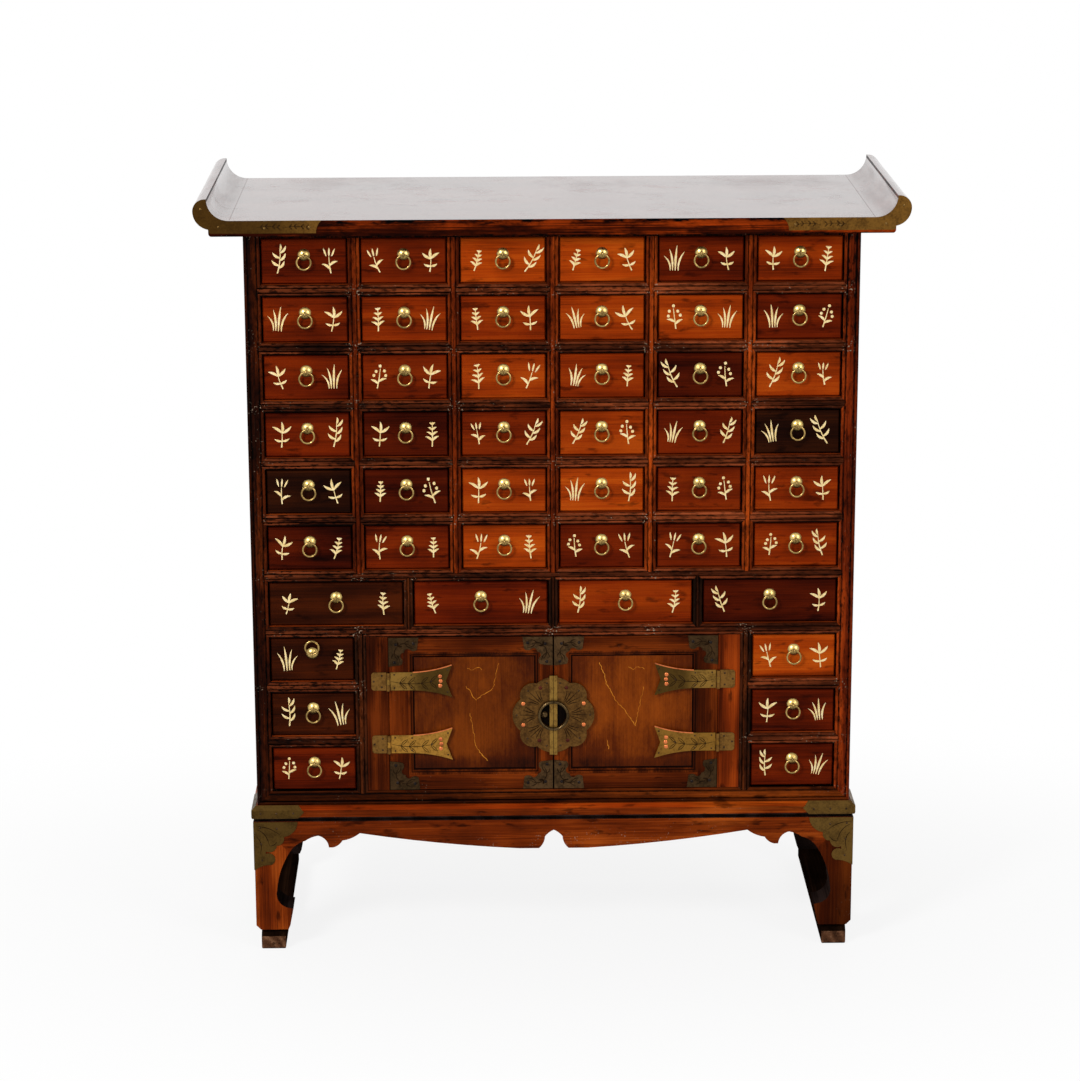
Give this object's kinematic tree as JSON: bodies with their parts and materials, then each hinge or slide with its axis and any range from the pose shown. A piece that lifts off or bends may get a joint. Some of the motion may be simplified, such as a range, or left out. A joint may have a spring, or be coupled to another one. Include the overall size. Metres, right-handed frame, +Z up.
{
  "type": "apothecary cabinet",
  "caption": "Medicine chest with a grid of small ring-pull drawers over a brass-mounted two-door cupboard, under an upturned scroll top and on a low stand with floor runners.",
  "frame": {"origin": "on the floor under the middle of the top", "axes": "+Z up, the front with the drawers faces -Y, +X to the right as seen from the front"},
  "size_m": [0.8992, 0.356, 1.0057],
  "materials": {
    "carcass_wood": "gloss lacquer",
    "frame_wood": "gloss lacquer, worn",
    "inner_wood": "plain",
    "drawer_wood": "gloss lacquer",
    "door_veneer": "gloss lacquer",
    "aged_brass": "aged, engraved",
    "copper": "copper nail heads",
    "cream_paint": "brush paint on wood"
  },
  "bodies": {
    "cabinet": {"carcass": "carcass_wood", "front_frame": "frame_wood", "drawer_guides": "inner_wood", "top_board": "carcass_wood", "stand_frame": "carcass_wood", "stand_runners": "carcass_wood", "brass_mounts": "aged_brass", "hinge_leaves_and_pins": "aged_brass"},
    "left_door": {"left_door_frame": "carcass_wood", "left_door_panel": "door_veneer", "left_door_brass": "aged_brass"},
    "right_door": {"right_door_frame": "carcass_wood", "right_door_panel": "door_veneer", "right_door_brass": "aged_brass"},
    "small_drawer_r1_c1": {"small_drawer_r1_c1": "drawer_wood"},
    "small_drawer_r1_c2": {"small_drawer_r1_c2": "drawer_wood"},
    "small_drawer_r1_c3": {"small_drawer_r1_c3": "drawer_wood"},
    "small_drawer_r1_c4": {"small_drawer_r1_c4": "drawer_wood"},
    "small_drawer_r1_c5": {"small_drawer_r1_c5": "drawer_wood"},
    "small_drawer_r1_c6": {"small_drawer_r1_c6": "drawer_wood"},
    "small_drawer_r2_c1": {"small_drawer_r2_c1": "drawer_wood"},
    "small_drawer_r2_c2": {"small_drawer_r2_c2": "drawer_wood"},
    "small_drawer_r2_c3": {"small_drawer_r2_c3": "drawer_wood"},
    "small_drawer_r2_c4": {"small_drawer_r2_c4": "drawer_wood"},
    "small_drawer_r2_c5": {"small_drawer_r2_c5": "drawer_wood"},
    "small_drawer_r2_c6": {"small_drawer_r2_c6": "drawer_wood"},
    "small_drawer_r3_c1": {"small_drawer_r3_c1": "drawer_wood"},
    "small_drawer_r3_c2": {"small_drawer_r3_c2": "drawer_wood"},
    "small_drawer_r3_c3": {"small_drawer_r3_c3": "drawer_wood"},
    "small_drawer_r3_c4": {"small_drawer_r3_c4": "drawer_wood"},
    "small_drawer_r3_c5": {"small_drawer_r3_c5": "drawer_wood"},
    "small_drawer_r3_c6": {"small_drawer_r3_c6": "drawer_wood"},
    "small_drawer_r4_c1": {"small_drawer_r4_c1": "drawer_wood"},
    "small_drawer_r4_c2": {"small_drawer_r4_c2": "drawer_wood"},
    "small_drawer_r4_c3": {"small_drawer_r4_c3": "drawer_wood"},
    "small_drawer_r4_c4": {"small_drawer_r4_c4": "drawer_wood"},
    "small_drawer_r4_c5": {"small_drawer_r4_c5": "drawer_wood"},
    "small_drawer_r4_c6": {"small_drawer_r4_c6": "drawer_wood"},
    "small_drawer_r5_c1": {"small_drawer_r5_c1": "drawer_wood"},
    "small_drawer_r5_c2": {"small_drawer_r5_c2": "drawer_wood"},
    "small_drawer_r5_c3": {"small_drawer_r5_c3": "drawer_wood"},
    "small_drawer_r5_c4": {"small_drawer_r5_c4": "drawer_wood"},
    "small_drawer_r5_c5": {"small_drawer_r5_c5": "drawer_wood"},
    "small_drawer_r5_c6": {"small_drawer_r5_c6": "drawer_wood"},
    "small_drawer_r6_c1": {"small_drawer_r6_c1": "drawer_wood"},
    "small_drawer_r6_c2": {"small_drawer_r6_c2": "drawer_wood"},
    "small_drawer_r6_c3": {"small_drawer_r6_c3": "drawer_wood"},
    "small_drawer_r6_c4": {"small_drawer_r6_c4": "drawer_wood"},
    "small_drawer_r6_c5": {"small_drawer_r6_c5": "drawer_wood"},
    "small_drawer_r6_c6": {"small_drawer_r6_c6": "drawer_wood"},
    "wide_drawer_1": {"wide_drawer_1": "drawer_wood"},
    "wide_drawer_2": {"wide_drawer_2": "drawer_wood"},
    "wide_drawer_3": {"wide_drawer_3": "drawer_wood"},
    "wide_drawer_4": {"wide_drawer_4": "drawer_wood"},
    "low_left_drawer_1": {"low_left_drawer_1": "drawer_wood"},
    "low_right_drawer_1": {"low_right_drawer_1": "drawer_wood"},
    "low_left_drawer_2": {"low_left_drawer_2": "drawer_wood"},
    "low_right_drawer_2": {"low_right_drawer_2": "drawer_wood"},
    "low_left_drawer_3": {"low_left_drawer_3": "drawer_wood"},
    "low_right_drawer_3": {"low_right_drawer_3": "drawer_wood"}
  },
  "joints": [
    {"name": "left_door_swing", "type": "hinge", "parent": "cabinet", "child": "left_door", "pos_m": [-0.215, -0.1579, 0.3242], "axis": [0, 0, -1], "range_deg": [0, 95]},
    {"name": "right_door_swing", "type": "hinge", "parent": "cabinet", "child": "right_door", "pos_m": [0.215, -0.1579, 0.3242], "axis": [0, 0, 1], "range_deg": [0, 95]},
    {"name": "small_drawer_r1_c1_slide", "type": "slide", "parent": "cabinet", "child": "small_drawer_r1_c1", "axis": [0, -1, 0], "range_m": [0, 0.21]},
    {"name": "small_drawer_r1_c2_slide", "type": "slide", "parent": "cabinet", "child": "small_drawer_r1_c2", "axis": [0, -1, 0], "range_m": [0, 0.21]},
    {"name": "small_drawer_r1_c3_slide", "type": "slide", "parent": "cabinet", "child": "small_drawer_r1_c3", "axis": [0, -1, 0], "range_m": [0, 0.21]},
    {"name": "small_drawer_r1_c4_slide", "type": "slide", "parent": "cabinet", "child": "small_drawer_r1_c4", "axis": [0, -1, 0], "range_m": [0, 0.21]},
    {"name": "small_drawer_r1_c5_slide", "type": "slide", "parent": "cabinet", "child": "small_drawer_r1_c5", "axis": [0, -1, 0], "range_m": [0, 0.21]},
    {"name": "small_drawer_r1_c6_slide", "type": "slide", "parent": "cabinet", "child": "small_drawer_r1_c6", "axis": [0, -1, 0], "range_m": [0, 0.21]},
    {"name": "small_drawer_r2_c1_slide", "type": "slide", "parent": "cabinet", "child": "small_drawer_r2_c1", "axis": [0, -1, 0], "range_m": [0, 0.21]},
    {"name": "small_drawer_r2_c2_slide", "type": "slide", "parent": "cabinet", "child": "small_drawer_r2_c2", "axis": [0, -1, 0], "range_m": [0, 0.21]},
    {"name": "small_drawer_r2_c3_slide", "type": "slide", "parent": "cabinet", "child": "small_drawer_r2_c3", "axis": [0, -1, 0], "range_m": [0, 0.21]},
    {"name": "small_drawer_r2_c4_slide", "type": "slide", "parent": "cabinet", "child": "small_drawer_r2_c4", "axis": [0, -1, 0], "range_m": [0, 0.21]},
    {"name": "small_drawer_r2_c5_slide", "type": "slide", "parent": "cabinet", "child": "small_drawer_r2_c5", "axis": [0, -1, 0], "range_m": [0, 0.21]},
    {"name": "small_drawer_r2_c6_slide", "type": "slide", "parent": "cabinet", "child": "small_drawer_r2_c6", "axis": [0, -1, 0], "range_m": [0, 0.21]},
    {"name": "small_drawer_r3_c1_slide", "type": "slide", "parent": "cabinet", "child": "small_drawer_r3_c1", "axis": [0, -1, 0], "range_m": [0, 0.21]},
    {"name": "small_drawer_r3_c2_slide", "type": "slide", "parent": "cabinet", "child": "small_drawer_r3_c2", "axis": [0, -1, 0], "range_m": [0, 0.21]},
    {"name": "small_drawer_r3_c3_slide", "type": "slide", "parent": "cabinet", "child": "small_drawer_r3_c3", "axis": [0, -1, 0], "range_m": [0, 0.21]},
    {"name": "small_drawer_r3_c4_slide", "type": "slide", "parent": "cabinet", "child": "small_drawer_r3_c4", "axis": [0, -1, 0], "range_m": [0, 0.21]},
    {"name": "small_drawer_r3_c5_slide", "type": "slide", "parent": "cabinet", "child": "small_drawer_r3_c5", "axis": [0, -1, 0], "range_m": [0, 0.21]},
    {"name": "small_drawer_r3_c6_slide", "type": "slide", "parent": "cabinet", "child": "small_drawer_r3_c6", "axis": [0, -1, 0], "range_m": [0, 0.21]},
    {"name": "small_drawer_r4_c1_slide", "type": "slide", "parent": "cabinet", "child": "small_drawer_r4_c1", "axis": [0, -1, 0], "range_m": [0, 0.21]},
    {"name": "small_drawer_r4_c2_slide", "type": "slide", "parent": "cabinet", "child": "small_drawer_r4_c2", "axis": [0, -1, 0], "range_m": [0, 0.21]},
    {"name": "small_drawer_r4_c3_slide", "type": "slide", "parent": "cabinet", "child": "small_drawer_r4_c3", "axis": [0, -1, 0], "range_m": [0, 0.21]},
    {"name": "small_drawer_r4_c4_slide", "type": "slide", "parent": "cabinet", "child": "small_drawer_r4_c4", "axis": [0, -1, 0], "range_m": [0, 0.21]},
    {"name": "small_drawer_r4_c5_slide", "type": "slide", "parent": "cabinet", "child": "small_drawer_r4_c5", "axis": [0, -1, 0], "range_m": [0, 0.21]},
    {"name": "small_drawer_r4_c6_slide", "type": "slide", "parent": "cabinet", "child": "small_drawer_r4_c6", "axis": [0, -1, 0], "range_m": [0, 0.21]},
    {"name": "small_drawer_r5_c1_slide", "type": "slide", "parent": "cabinet", "child": "small_drawer_r5_c1", "axis": [0, -1, 0], "range_m": [0, 0.21]},
    {"name": "small_drawer_r5_c2_slide", "type": "slide", "parent": "cabinet", "child": "small_drawer_r5_c2", "axis": [0, -1, 0], "range_m": [0, 0.21]},
    {"name": "small_drawer_r5_c3_slide", "type": "slide", "parent": "cabinet", "child": "small_drawer_r5_c3", "axis": [0, -1, 0], "range_m": [0, 0.21]},
    {"name": "small_drawer_r5_c4_slide", "type": "slide", "parent": "cabinet", "child": "small_drawer_r5_c4", "axis": [0, -1, 0], "range_m": [0, 0.21]},
    {"name": "small_drawer_r5_c5_slide", "type": "slide", "parent": "cabinet", "child": "small_drawer_r5_c5", "axis": [0, -1, 0], "range_m": [0, 0.21]},
    {"name": "small_drawer_r5_c6_slide", "type": "slide", "parent": "cabinet", "child": "small_drawer_r5_c6", "axis": [0, -1, 0], "range_m": [0, 0.21]},
    {"name": "small_drawer_r6_c1_slide", "type": "slide", "parent": "cabinet", "child": "small_drawer_r6_c1", "axis": [0, -1, 0], "range_m": [0, 0.21]},
    {"name": "small_drawer_r6_c2_slide", "type": "slide", "parent": "cabinet", "child": "small_drawer_r6_c2", "axis": [0, -1, 0], "range_m": [0, 0.21]},
    {"name": "small_drawer_r6_c3_slide", "type": "slide", "parent": "cabinet", "child": "small_drawer_r6_c3", "axis": [0, -1, 0], "range_m": [0, 0.21]},
    {"name": "small_drawer_r6_c4_slide", "type": "slide", "parent": "cabinet", "child": "small_drawer_r6_c4", "axis": [0, -1, 0], "range_m": [0, 0.21]},
    {"name": "small_drawer_r6_c5_slide", "type": "slide", "parent": "cabinet", "child": "small_drawer_r6_c5", "axis": [0, -1, 0], "range_m": [0, 0.21]},
    {"name": "small_drawer_r6_c6_slide", "type": "slide", "parent": "cabinet", "child": "small_drawer_r6_c6", "axis": [0, -1, 0], "range_m": [0, 0.21]},
    {"name": "wide_drawer_1_slide", "type": "slide", "parent": "cabinet", "child": "wide_drawer_1", "axis": [0, -1, 0], "range_m": [0, 0.21]},
    {"name": "wide_drawer_2_slide", "type": "slide", "parent": "cabinet", "child": "wide_drawer_2", "axis": [0, -1, 0], "range_m": [0, 0.21]},
    {"name": "wide_drawer_3_slide", "type": "slide", "parent": "cabinet", "child": "wide_drawer_3", "axis": [0, -1, 0], "range_m": [0, 0.21]},
    {"name": "wide_drawer_4_slide", "type": "slide", "parent": "cabinet", "child": "wide_drawer_4", "axis": [0, -1, 0], "range_m": [0, 0.21]},
    {"name": "low_left_drawer_1_slide", "type": "slide", "parent": "cabinet", "child": "low_left_drawer_1", "axis": [0, -1, 0], "range_m": [0, 0.21]},
    {"name": "low_right_drawer_1_slide", "type": "slide", "parent": "cabinet", "child": "low_right_drawer_1", "axis": [0, -1, 0], "range_m": [0, 0.21]},
    {"name": "low_left_drawer_2_slide", "type": "slide", "parent": "cabinet", "child": "low_left_drawer_2", "axis": [0, -1, 0], "range_m": [0, 0.21]},
    {"name": "low_right_drawer_2_slide", "type": "slide", "parent": "cabinet", "child": "low_right_drawer_2", "axis": [0, -1, 0], "range_m": [0, 0.21]},
    {"name": "low_left_drawer_3_slide", "type": "slide", "parent": "cabinet", "child": "low_left_drawer_3", "axis": [0, -1, 0], "range_m": [0, 0.21]},
    {"name": "low_right_drawer_3_slide", "type": "slide", "parent": "cabinet", "child": "low_right_drawer_3", "axis": [0, -1, 0], "range_m": [0, 0.21]}
  ]
}
